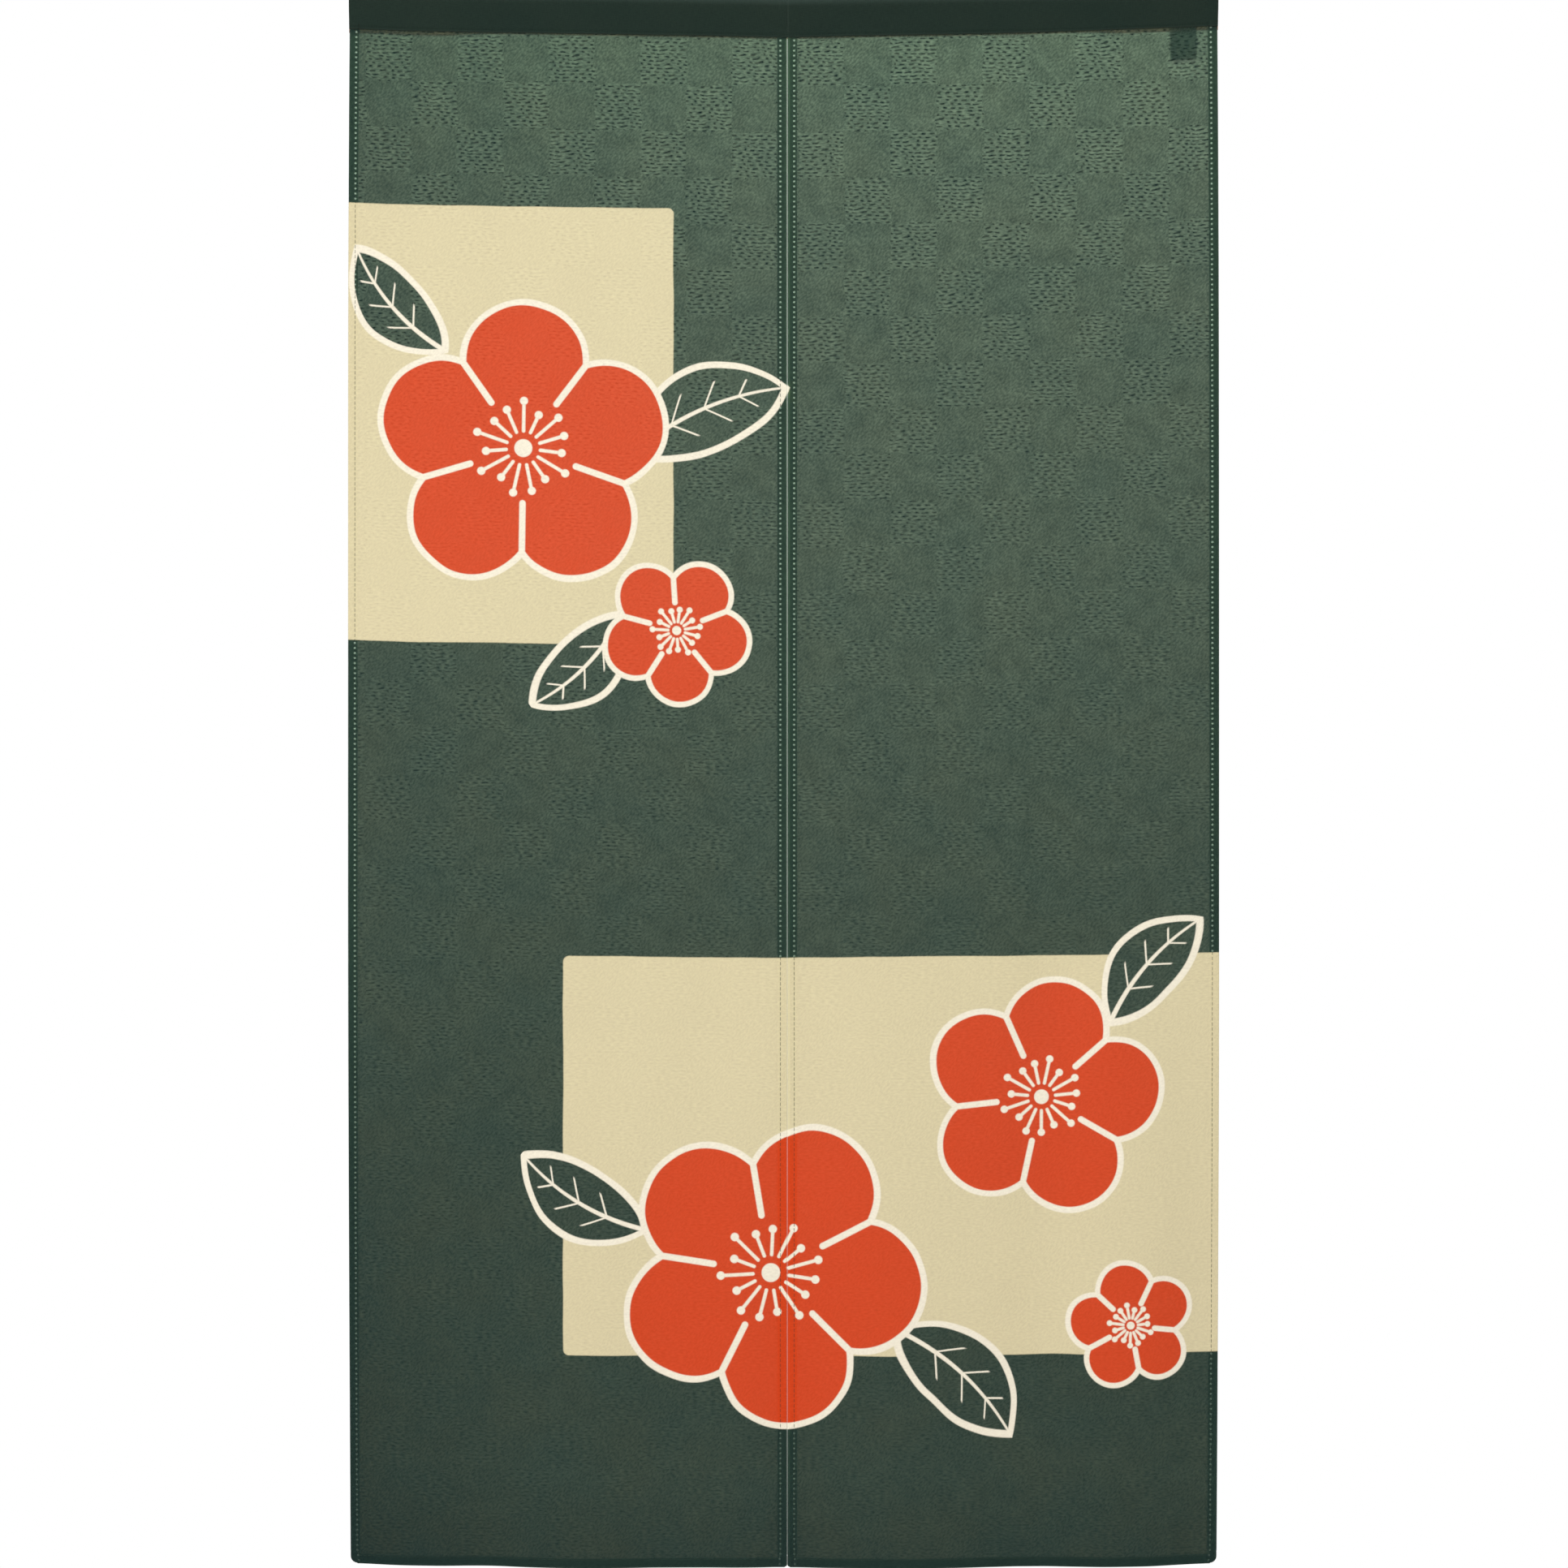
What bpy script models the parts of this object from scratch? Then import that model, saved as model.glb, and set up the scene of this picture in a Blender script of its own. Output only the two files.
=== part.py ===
"""A noren: two cloth panels side by side, hung from a rod pocket along their top.

Metres, +Z up. The front faces -Y and +X is to the right as one looks at it. The
origin is on the top fold at the middle of the width, and the cloth hangs below it.
Each cloth is an open grid, bent by a function into the form in which it hangs and
then given its thickness.
"""

from collections import namedtuple

import bmesh
import bpy
import numpy as np

# Driving dimensions
DROP = 1.497  # top fold to bottom edge, at the slit
HALF_TOP = 0.4141  # half the width at the pocket's seam and at the foot
SIDE_BOW = 0.0016  # how far the side edges stand out at mid height
SLIT_X = 0.0035  # the slit is a little right of the middle
SLIT_GAP = 0.0006  # between the two panels' meeting edges
CLOTH = 0.0012  # thickness of one layer, with its nap
HEM_WIDTH = 0.010  # turned to the back along the sides, the slit and the foot
HEM_STEP = 0.0013  # over which a hem thins to a single layer
CORNER_RADIUS = 0.006  # rounded outer corners at the foot
SLIT_CORNER_RADIUS = 0.002
CLEARANCE = 0.0003  # between one piece and the next

# The rod pocket's section, which is a teardrop
POCKET_HEIGHT = 0.037
CROWN_RADIUS = 0.0085
SEAM_RADIUS = 0.0016
END_BULGE = 0.0018  # the pocket's ends stand out at mid height

# How the top fold sags between its ends, and how the foot follows it
END_LIFT = 0.0031  # close to each end
SLOPE_LIFT = 0.0055  # from the slit outwards
END_POWER = 8
SLOPE_POWER = 1.6
FOOT_LIFT = 0.0030  # the foot's ends above its middle

# The label, a folded tape sewn into the seam behind the right panel
LABEL_X = 0.3814
LABEL_WIDTH = 0.025
LABEL_DROP = 0.028
LABEL_THICKNESS = 0.0010
LABEL_CURL = 0.0012  # its lower end stands off the cloth

# Where the panels' front face hangs, and how far apart the grids' lines are
PANEL_FRONT = -0.0010
COLUMN_PITCH = 0.024
ROW_PITCH = 0.040
POCKET_COLUMNS = 31

# Soft folds. x is where a fold meets the foot, and lean how far it moves sideways for
# each metre up. width is from its crest to where it fades, and depth is towards the
# front. It begins at starts, below the top fold, and comes in over grows.
Fold = namedtuple("Fold", "x lean width depth starts grows")
LEFT_FOLDS = (
    Fold(x=-0.416, lean=0.000, width=0.075, depth=-0.0090, starts=0.85, grows=0.55),
    Fold(x=-0.285, lean=0.010, width=0.050, depth=-0.0045, starts=1.20, grows=0.25),
    Fold(x=-0.190, lean=-0.020, width=0.090, depth=0.0050, starts=0.70, grows=0.70),
    Fold(x=-0.090, lean=0.030, width=0.070, depth=-0.0025, starts=0.30, grows=0.60),
    Fold(x=0.003, lean=0.000, width=0.055, depth=-0.0040, starts=0.75, grows=0.60),
)
RIGHT_FOLDS = (
    Fold(x=0.004, lean=0.000, width=0.050, depth=-0.0032, starts=0.75, grows=0.60),
    Fold(x=0.120, lean=-0.015, width=0.090, depth=0.0050, starts=0.60, grows=0.70),
    Fold(x=0.225, lean=0.065, width=0.060, depth=-0.0040, starts=0.12, grows=0.35),
    Fold(x=0.325, lean=0.020, width=0.070, depth=0.0035, starts=0.50, grows=0.60),
    Fold(x=0.416, lean=0.000, width=0.070, depth=-0.0080, starts=0.90, grows=0.50),
)


def clear_scene():
    """Removes whatever the file holds, so that only the noren is left."""
    for thing in list(bpy.data.objects):
        bpy.data.objects.remove(thing)


def smooth(t):
    """An S-shaped rise from 0 to 1 as t goes from 0 to 1: 3 t squared less 2 t cubed."""
    t = np.clip(t, 0.0, 1.0)
    return t * t * (3.0 - 2.0 * t)


def top_lift(x):
    """How far the top fold stands above its middle at x: it rises from the slit in a
    slackening slope, and more steeply again close to each end."""
    u = np.clip(np.abs(x) / HALF_TOP, 0.0, 1.0)
    return END_LIFT * u**END_POWER + SLOPE_LIFT * (1.0 - (1.0 - u) ** SLOPE_POWER)


def foot_lift(x):
    """How far the bottom edge stands above its middle at x: a shallow bow."""
    return FOOT_LIFT * (x / HALF_TOP) ** 2


def half_width(t):
    """Half the curtain's width at the share t of the way down a panel."""
    return HALF_TOP + SIDE_BOW * (1.0 - (2.0 * t - 1.0) ** 4)


def fold_relief(folds, x, depth_below):
    """The sum of the folds at x, a distance below the top fold: each is a raised
    cosine across its width, scaled by an S-shaped rise from where it starts."""
    relief = np.zeros_like(x)
    for fold in folds:
        crest = fold.x + fold.lean * (DROP - depth_below)
        across = np.clip(np.abs(x - crest) / fold.width, 0.0, 1.0)
        crest_share = 0.5 + 0.5 * np.cos(np.pi * across)
        relief += fold.depth * crest_share * smooth((depth_below - fold.starts) / fold.grows)
    return relief


def even_stops(start, end, pitch):
    """Evenly spaced places from start to end, about a pitch apart."""
    count = max(2, int(round((end - start) / pitch)) + 1)
    return np.linspace(start, end, count)


def column_stops(width):
    """Places of a panel's grid lines across its width, with one at each hem's edge."""
    inner = HEM_WIDTH + HEM_STEP
    middle = even_stops(inner, width - inner, COLUMN_PITCH)
    return np.concatenate(([0.0, HEM_WIDTH], middle, [width - HEM_WIDTH, width]))


def row_stops(height):
    """Places of a panel's grid lines above its foot, closer together round the corner."""
    turn = np.linspace(0.0, np.pi / 2.0, 5)
    corner = CORNER_RADIUS * (1.0 - np.cos(turn))
    body = even_stops(HEM_WIDTH + HEM_STEP, height, ROW_PITCH)
    return np.concatenate((corner, [HEM_WIDTH], body))


def corner_inset(above_foot, radius):
    """How far a rounded corner draws the edge in, at a height above the foot: a
    quarter circle."""
    rest = np.clip(radius - above_foot, 0.0, radius)
    return radius - np.sqrt(radius**2 - rest**2)


def grid_object(name, columns, rows):
    """A flat grid with that many lines each way, and its points' column and row."""
    bpy.ops.mesh.primitive_grid_add(x_subdivisions=columns - 1, y_subdivisions=rows - 1, size=2.0)
    made = bpy.context.object
    made.name = name
    made.data.name = name
    flat = np.empty(len(made.data.vertices) * 3)
    made.data.vertices.foreach_get("co", flat)
    flat = flat.reshape(-1, 3)
    column = np.rint((flat[:, 0] + 1.0) / 2.0 * (columns - 1)).astype(int)
    row = np.rint((flat[:, 1] + 1.0) / 2.0 * (rows - 1)).astype(int)
    return made, column, row


def place_points(made, x, y, z):
    """Moves a grid's points to where the cloth hangs."""
    points = np.stack((x, y, z), axis=1)
    made.data.vertices.foreach_set("co", points.ravel())
    made.data.update()


def thicken(made, thickness, hem_points=None):
    """Gives a cloth its thickness behind its front face. Its hems, where it is turned
    back on itself, are two layers thick."""
    solid = made.modifiers.new("thickness", "SOLIDIFY")
    solid.offset = -1.0
    solid.thickness = thickness
    if hem_points is None:
        return
    hem = made.vertex_groups.new(name="hem")
    hem.add([int(i) for i in hem_points], 1.0, "REPLACE")
    solid.thickness = 2.0 * thickness
    solid.vertex_group = hem.name
    solid.thickness_vertex_group = 0.5


def fabric(name, colour, roughness):
    """A matt cloth of one colour."""
    made = bpy.data.materials.new(name)
    made.use_nodes = True
    shader = made.node_tree.nodes["Principled BSDF"]
    shader.inputs["Base Color"].default_value = (*colour, 1.0)
    shader.inputs["Roughness"].default_value = roughness
    shader.inputs["Metallic"].default_value = 0.0
    return made


def finish(made, material, collection):
    """Shades a piece smooth, colours it and puts it in the noren's collection."""
    made.data.shade_smooth()
    made.data.materials.append(material)
    for holder in list(made.users_collection):
        holder.objects.unlink(made)
    collection.objects.link(made)


def panel(name, left, right, folds, corner_radii):
    """One panel, from its left to its right edge at mid width, given as shares of the
    half width or as a place at the slit. The rounded corners are at its foot."""
    stops_across = column_stops(right - left)
    height = DROP - POCKET_HEIGHT - CLEARANCE
    stops_up = row_stops(height)
    made, column, row = grid_object(name, len(stops_across), len(stops_up))

    share_across = stops_across[column] / (right - left)
    above_foot = stops_up[row]
    t = 1.0 - above_foot / height
    outward = (half_width(t) - HALF_TOP) * (1.0 if right > -left else -1.0)
    outer_share = share_across if right > -left else 1.0 - share_across
    x = left + stops_across[column] + outward * outer_share
    first = column == 0
    last = column == len(stops_across) - 1
    x = x + first * corner_inset(above_foot, corner_radii[0])
    x = x - last * corner_inset(above_foot, corner_radii[1])

    top = -POCKET_HEIGHT - CLEARANCE + top_lift(x)
    foot = -DROP + foot_lift(x)
    z = top + (foot - top) * t
    y = PANEL_FRONT - fold_relief(folds, x, -z)
    place_points(made, x, y, z)

    edge = HEM_WIDTH + 0.5 * HEM_STEP
    from_side = np.minimum(stops_across[column], right - left - stops_across[column])
    hemmed = (from_side < edge) | (above_foot < edge)
    thicken(made, CLOTH, np.nonzero(hemmed)[0])
    return made


def arc(centre_z, radius, start, end, count):
    """Points on an arc in the section's plane, as (y, z). Angles are from -Y upwards."""
    angle = np.radians(np.linspace(start, end, count))
    return np.stack((-radius * np.cos(angle), centre_z + radius * np.sin(angle)), axis=1)


def pocket_section():
    """The teardrop: a round crown and a tight fold at the seam, joined by straight
    flanks that touch both circles. It starts at the seam and goes up the front."""
    crown_z = -CROWN_RADIUS
    seam_z = -POCKET_HEIGHT + SEAM_RADIUS
    tilt = np.degrees(np.arcsin((CROWN_RADIUS - SEAM_RADIUS) / (crown_z - seam_z)))
    front_fold = arc(seam_z, SEAM_RADIUS, -90.0, -tilt, 3)
    crown = arc(crown_z, CROWN_RADIUS, -tilt, 180.0 + tilt, 11)
    back_fold = arc(seam_z, SEAM_RADIUS, 180.0 + tilt, 270.0, 3)
    share = np.linspace(0.0, 1.0, 5)[1:-1, None]
    front_flank = front_fold[-1] + share * (crown[0] - front_fold[-1])
    back_flank = crown[-1] + share * (back_fold[0] - crown[-1])
    return np.concatenate((front_fold, front_flank, crown, back_flank, back_fold))


def heading():
    """The rod pocket: the teardrop carried along the width, with both ends open. It
    follows the top fold's sag, and its ends bulge at mid height."""
    section = pocket_section()
    made, column, row = grid_object("heading", POCKET_COLUMNS, len(section))
    u = -1.0 + 2.0 * column / (POCKET_COLUMNS - 1)
    y, z = section[row, 0], section[row, 1]
    x = u * (HALF_TOP + END_BULGE * np.sin(np.pi * np.clip(-z / POCKET_HEIGHT, 0.0, 1.0)))
    place_points(made, x, y, z + top_lift(x))
    close_tube(made)
    thicken(made, CLOTH)
    return made


def close_tube(made):
    """Merges a tube's two long edges, which lie on each other at the seam."""
    shape = bmesh.new()
    shape.from_mesh(made.data)
    bmesh.ops.remove_doubles(shape, verts=shape.verts, dist=0.00002)
    shape.to_mesh(made.data)
    shape.free()


def label():
    """The blank tape behind the right panel, which curls a little off the cloth."""
    made, column, row = grid_object("label", 5, 7)
    down = (1.0 - row / 6.0) * LABEL_DROP
    x = LABEL_X + (column / 4.0 - 0.5) * LABEL_WIDTH
    front = PANEL_FRONT + CLOTH + CLEARANCE
    y = front + LABEL_CURL * (down / LABEL_DROP) ** 2
    z = top_lift(x) - POCKET_HEIGHT - CLEARANCE - down
    place_points(made, x, y, z)
    thicken(made, LABEL_THICKNESS)
    return made


def build():
    """Makes the pieces of the noren."""
    clear_scene()
    noren = bpy.data.collections.new("noren")
    bpy.context.scene.collection.children.link(noren)
    ground = fabric("green_cloth", (0.052, 0.075, 0.055), 0.92)
    pocket_cloth = fabric("dark_green_cloth", (0.018, 0.031, 0.023), 0.92)
    tape = fabric("tape", (0.075, 0.085, 0.080), 0.85)

    slit_left = SLIT_X - 0.5 * SLIT_GAP
    slit_right = SLIT_X + 0.5 * SLIT_GAP
    left_corners = (CORNER_RADIUS, SLIT_CORNER_RADIUS)
    right_corners = (SLIT_CORNER_RADIUS, CORNER_RADIUS)
    finish(heading(), pocket_cloth, noren)
    finish(panel("panel_left", -HALF_TOP, slit_left, LEFT_FOLDS, left_corners), ground, noren)
    finish(panel("panel_right", slit_right, HALF_TOP, RIGHT_FOLDS, right_corners), ground, noren)
    finish(label(), tape, noren)


build()
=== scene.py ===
"""The looks of a noren: printed cloth panels, rod pocket, blank tape and sewing.

Metres, +Z up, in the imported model's frame. The front faces -Y, +X is to the right, and
the origin is on the top fold. Every piece is a surface worked out with numpy on a grid
of flat-cloth distances, hung on the same folds as the solid that it stands for.
"""

from collections import namedtuple

import bmesh
import bpy
import numpy as np
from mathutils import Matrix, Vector


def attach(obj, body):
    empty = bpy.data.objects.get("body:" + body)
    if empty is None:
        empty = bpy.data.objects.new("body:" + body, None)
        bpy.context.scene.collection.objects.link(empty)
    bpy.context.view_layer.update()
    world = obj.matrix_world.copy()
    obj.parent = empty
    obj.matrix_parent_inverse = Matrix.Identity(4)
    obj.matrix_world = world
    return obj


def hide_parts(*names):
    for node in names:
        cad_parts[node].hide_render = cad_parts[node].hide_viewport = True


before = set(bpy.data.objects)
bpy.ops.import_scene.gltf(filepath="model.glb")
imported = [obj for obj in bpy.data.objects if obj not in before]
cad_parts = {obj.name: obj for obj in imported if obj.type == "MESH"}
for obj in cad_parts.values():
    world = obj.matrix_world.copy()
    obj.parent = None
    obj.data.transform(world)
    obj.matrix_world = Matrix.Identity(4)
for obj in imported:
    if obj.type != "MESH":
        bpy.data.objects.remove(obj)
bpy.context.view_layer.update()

# The curtain as it hangs, as its solids are built
DROP = 1.497  # top fold to bottom edge
HALF_TOP = 0.4141  # half the width at the pocket's seam and at the foot
SIDE_BOW = 0.0016
SLIT_X = 0.0035
SLIT_GAP = 0.0006  # between the solids
SLIT_TOP_GAP = 0.00018  # between the cloths, at the top and at the foot
SLIT_FOOT_GAP = 0.00006
CORNER_RADIUS = 0.006
SLIT_CORNER_RADIUS = 0.002
POCKET_HEIGHT = 0.037
CROWN_RADIUS = 0.0085
END_LIFT = 0.0031
SLOPE_LIFT = 0.0055
END_POWER = 8
SLOPE_POWER = 1.6
FOOT_LIFT = 0.0030
PANEL_FRONT = -0.0010
LABEL_X = 0.3814
LABEL_WIDTH = 0.025
LABEL_DROP = 0.028
LABEL_TOP = -0.0345
LABEL_THICKNESS = 0.00032
LABEL_LOOP = 0.00055  # half the way between the strip's two halves

# The cloth itself
CLOTH = 0.00045
HEM_WIDTH = 0.0094
TURN_RADIUS = 0.00055  # round which a hem is turned
CORNER_TURN = 2.4  # times wider where a side hem takes in the foot's hem
STITCH_PITCH = 0.0048
SIDE_STITCH = 0.0060  # from a panel's side edges to their stitches
FOOT_STITCH = 0.0075
POCKET_STITCH = 0.0016  # from the pocket's lower edge
THREAD = 0.00020  # radius
TUCK = 0.0050  # of a panel that runs up inside the pocket
INK_EDGE = 0.0011  # softness of the print's edges

# The pocket's lower edge, turned in on itself, and the allowance that shows behind it
POCKET_TURN = 0.00048
SEAM_FRONT = -0.0022
LIP = 0.0036  # of the allowance that shows below the seam near the ends
DRAWN_IN = 0.0010  # at the pocket's ends, where it goes over the rod
END_PUFF = 0.0005
RIGHT_RISE = 0.07  # of the pocket's height, by which it is shallower towards its right end
LIP_MIDDLE = 0.35  # the share of it that shows further in
LIP_FRONT = -0.00045  # the back wall's inner face, at the panels' backs

Fold = namedtuple("Fold", "x lean width depth starts grows")
LEFT_FOLDS = (
    Fold(x=-0.416, lean=0.000, width=0.075, depth=-0.0090, starts=0.85, grows=0.55),
    Fold(x=-0.285, lean=0.010, width=0.050, depth=-0.0045, starts=1.20, grows=0.25),
    Fold(x=-0.190, lean=-0.020, width=0.090, depth=0.0050, starts=0.70, grows=0.70),
    Fold(x=-0.090, lean=0.030, width=0.070, depth=-0.0025, starts=0.30, grows=0.60),
    Fold(x=0.003, lean=0.000, width=0.055, depth=-0.0040, starts=0.75, grows=0.60),
)
RIGHT_FOLDS = (
    Fold(x=0.004, lean=0.000, width=0.050, depth=-0.0032, starts=0.75, grows=0.60),
    Fold(x=0.120, lean=-0.015, width=0.090, depth=0.0050, starts=0.60, grows=0.70),
    Fold(x=0.225, lean=0.065, width=0.060, depth=-0.0040, starts=0.12, grows=0.35),
    Fold(x=0.325, lean=0.020, width=0.070, depth=0.0035, starts=0.50, grows=0.60),
    Fold(x=0.416, lean=0.000, width=0.070, depth=-0.0080, starts=0.90, grows=0.50),
)

# Creases pressed across the cloth where it was folded for storage
Crease = namedtuple("Crease", "below height half_width")
CREASES = (
    Crease(below=0.249, height=0.0005, half_width=0.020),
    Crease(below=0.497, height=-0.0005, half_width=0.020),
    Crease(below=0.745, height=0.0004, half_width=0.024),
    Crease(below=0.989, height=-0.0005, half_width=0.018),
    Crease(below=1.241, height=0.0004, half_width=0.022),
)

# Soft random waves of the cloth, by height, length across, and stretch up and down
Ripple = namedtuple("Ripple", "height length stretch")
PANEL_RIPPLE = Ripple(height=0.00045, length=0.110, stretch=5.0)
PANEL_FINE_RIPPLE = Ripple(height=0.00010, length=0.035, stretch=2.0)
POCKET_RIPPLE = Ripple(height=0.00022, length=0.060, stretch=0.6)
POCKET_FINE_RIPPLE = Ripple(height=0.00012, length=0.021, stretch=0.6)

# Small waves along sewing: their pitch, and how they wander along it
Pucker = namedtuple("Pucker", "height pitch swing drift reach")
SIDE_PUCKER = Pucker(height=0.00013, pitch=0.0052, swing=1.5, drift=0.031, reach=0.014)
FOOT_PUCKER = Pucker(height=0.00012, pitch=0.0060, swing=1.3, drift=0.037, reach=0.014)
SEAM_PUCKER = Pucker(height=0.00014, pitch=0.0055, swing=1.7, drift=0.041, reach=0.020)
POCKET_PUCKER = Pucker(height=0.00012, pitch=0.0055, swing=1.7, drift=0.041, reach=0.010)

Panel = namedtuple("Panel", "name left right folds left_corner right_corner seed")
LEFT = Panel(
    name="cloth_left",
    left=-HALF_TOP,
    right=SLIT_X - 0.5 * SLIT_GAP,
    folds=LEFT_FOLDS,
    left_corner=CORNER_RADIUS,
    right_corner=SLIT_CORNER_RADIUS,
    seed=11,
)
RIGHT = Panel(
    name="cloth_right",
    left=SLIT_X + 0.5 * SLIT_GAP,
    right=HALF_TOP,
    folds=RIGHT_FOLDS,
    left_corner=SLIT_CORNER_RADIUS,
    right_corner=CORNER_RADIUS,
    seed=23,
)
PANEL_DROP = DROP - POCKET_HEIGHT  # seam to foot, at the slit


def smooth(t):
    """An S-shaped rise from 0 to 1 as t goes from 0 to 1: 3 t squared less 2 t cubed."""
    t = np.clip(t, 0.0, 1.0)
    return t * t * (3.0 - 2.0 * t)


def top_lift(x):
    """How far the top fold stands above its middle at x: a slackening slope from the
    slit outwards, and a steeper rise close to each end."""
    u = np.clip(np.abs(x) / HALF_TOP, 0.0, 1.0)
    return END_LIFT * u**END_POWER + SLOPE_LIFT * (1.0 - (1.0 - u) ** SLOPE_POWER)


def foot_lift(x):
    """How far the bottom edge stands above its middle at x: a shallow bow."""
    return FOOT_LIFT * (x / HALF_TOP) ** 2


def fold_relief(folds, x, below):
    """The sum of the soft folds at x, a distance below the top fold: each is a raised
    cosine across its width, scaled by an S-shaped rise from where it starts."""
    relief = np.zeros_like(x)
    for fold in folds:
        crest = fold.x + fold.lean * (DROP - below)
        across = np.clip(np.abs(x - crest) / fold.width, 0.0, 1.0)
        share = 0.5 + 0.5 * np.cos(np.pi * across)
        relief += fold.depth * share * smooth((below - fold.starts) / fold.grows)
    return relief


def ripples(x, z, seed, ripple, count=9):
    """Soft random waves: a sum of plane waves of about the ripple's length across, longer
    by its stretch up and down, with seeded directions and phases."""
    rng = np.random.default_rng(seed)
    total = np.zeros_like(x)
    for _ in range(count):
        step = 2.0 * np.pi / (ripple.length * rng.uniform(0.7, 1.5))
        turn = rng.uniform(-0.9, 0.9)
        phase = rng.uniform(0.0, 2.0 * np.pi)
        total += np.sin(step * (np.cos(turn) * x + np.sin(turn) * z / ripple.stretch) + phase)
    return ripple.height * total / np.sqrt(count)


def puckers(along, away, pucker, phase=0.0):
    """Small waves where sewing draws the cloth in: a sine of the place along it, its phase
    swung by a longer sine, dying away as e to the minus distance over reach."""
    wander = pucker.swing * np.sin(along / pucker.drift + phase)
    return pucker.height * np.exp(-away / pucker.reach) * np.sin(along / pucker.pitch + wander)


def crease_relief(x, below, seed):
    """The pressed creases: each a sharp-topped ridge or trough, a square of the share
    left to its half width, that wanders a little and is firmer in places."""
    rng = np.random.default_rng(seed)
    relief = np.zeros_like(x)
    for crease in CREASES:
        wander = 0.0015 * np.sin(x / 0.07 + rng.uniform(0.0, 6.0))
        firm = 0.7 + 0.3 * np.sin(x / 0.05 + rng.uniform(0.0, 6.0))
        left = np.clip(1.0 - np.abs(below - crease.below - wander) / crease.half_width, 0.0, 1.0)
        relief += crease.height * firm * left * left
    return relief


def sewn_relief(panel, x, below, from_edge, above_foot):
    """The small waves along the side hems, the foot's hem and the pocket's seam."""
    side = puckers(below, from_edge, SIDE_PUCKER)
    foot = puckers(x, above_foot, FOOT_PUCKER)
    seam = puckers(x, np.abs(below - POCKET_HEIGHT), SEAM_PUCKER, panel.seed)
    return side + foot + seam


def turned(over, radius, behind):
    """A hem's turn to the back. over is how far past the edge a point lies on the flat
    cloth, and behind how deep its layer lies already. It goes half round a line that is
    radius behind the face, and then back along the face. Gives how far outside the edge
    it ends up, and how deep."""
    own_radius = radius - behind
    angle = np.clip(over / radius, 0.0, np.pi)
    past = np.maximum(over - np.pi * radius, 0.0)
    outside = np.where(over > 0.0, own_radius * np.sin(angle) - past, over)
    return outside, radius - own_radius * np.cos(angle)


def corner_inset(above_foot, radius):
    """How far a rounded corner draws the edge in, a quarter circle above the foot."""
    rest = np.clip(radius - above_foot, 0.0, radius)
    return radius - np.sqrt(radius**2 - rest**2)


def face_place(panel, on_left, outside, from_edge, above_foot):
    """x of a panel's points: its straight edges, bowed where they are the curtain's own
    sides, closed together down the slit and drawn in at the foot's rounded corners. Each
    of these dies away from the edge."""
    down = 1.0 - np.clip(above_foot / PANEL_DROP, 0.0, 1.0)
    outer = (on_left & (panel.left < -0.1)) | (~on_left & (panel.right > 0.1))
    bow = np.where(on_left, -SIDE_BOW, SIDE_BOW) * (1.0 - (2.0 * down - 1.0) ** 4)
    bow = bow * outer * smooth(1.0 - from_edge / (0.6 * (panel.right - panel.left)))
    corner = np.where(on_left, panel.left_corner, panel.right_corner)
    inset = corner_inset(np.maximum(above_foot, 0.0), corner) * (1.0 - smooth(from_edge / 0.018))
    gap = SLIT_TOP_GAP + (SLIT_FOOT_GAP - SLIT_TOP_GAP) * down
    outside = outside + ~outer * 0.5 * (SLIT_GAP - gap) * smooth(1.0 - from_edge / 0.03)
    return np.where(on_left, panel.left - outside + inset, panel.right + outside - inset) + bow


def hang(panel, across, above):
    """Where points of a panel's flat cloth hang. across is from its left edge and above
    from its foot, and both go past the edges into the turned hems. Gives x, y and z."""
    width = panel.right - panel.left
    outside_foot, depth = turned(-above, TURN_RADIUS, np.zeros_like(above))
    above_foot = -outside_foot
    taking_in = smooth((HEM_WIDTH + 0.003 - above_foot) / 0.003)
    radius = TURN_RADIUS * (1.0 + (CORNER_TURN - 1.0) * taking_in)
    on_left = across < 0.5 * width
    over = np.where(on_left, -across, across - width)
    outside, depth = turned(over, radius, depth)
    from_edge = np.maximum(-outside, 0.0)
    outside = outside - radius * (1.0 - smooth(from_edge / 0.03))

    x = face_place(panel, on_left, outside, from_edge, above_foot)
    top = -POCKET_HEIGHT + top_lift(x)
    foot = -DROP + foot_lift(x)
    z = foot + (top - foot) * above_foot / PANEL_DROP

    below = -z
    relief = fold_relief(panel.folds, x, below)
    hanging = smooth((below - POCKET_HEIGHT - 0.004) / 0.05)
    relief += crease_relief(x, below, 5)
    relief += hanging * ripples(x, z, panel.seed, PANEL_RIPPLE)
    relief += hanging * ripples(x, z, panel.seed + 1, PANEL_FINE_RIPPLE)
    relief += sewn_relief(panel, x, below, from_edge, np.maximum(above_foot, 0.0))
    return x, PANEL_FRONT - relief + depth, z


def hem_stops():
    """Places across a turned hem, from its raw edge to the panel's edge, past the edge
    and so negative, with enough of them round its turn."""
    turn = np.pi * TURN_RADIUS
    flat = np.linspace(HEM_WIDTH - TURN_RADIUS + turn, turn, 5)
    return -np.concatenate((flat, turn * np.array([0.8, 0.6, 0.4, 0.2])))


def edge_stops():
    """Places just inside a panel's edge, close together where a hem shows through."""
    return np.array([0.0, 0.0010, 0.0022, 0.0040, 0.0060, 0.0080, 0.0098, 0.0120])


def across_stops(panel):
    """Places across a panel's flat cloth, its two side hems included."""
    width = panel.right - panel.left
    start, end = edge_stops()[-1], width - edge_stops()[-1]
    middle = np.linspace(start, end, int((end - start) / 0.0042))[1:-1]
    half = np.concatenate((hem_stops(), edge_stops()))
    return np.concatenate((half, middle, width - half[::-1]))


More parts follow.
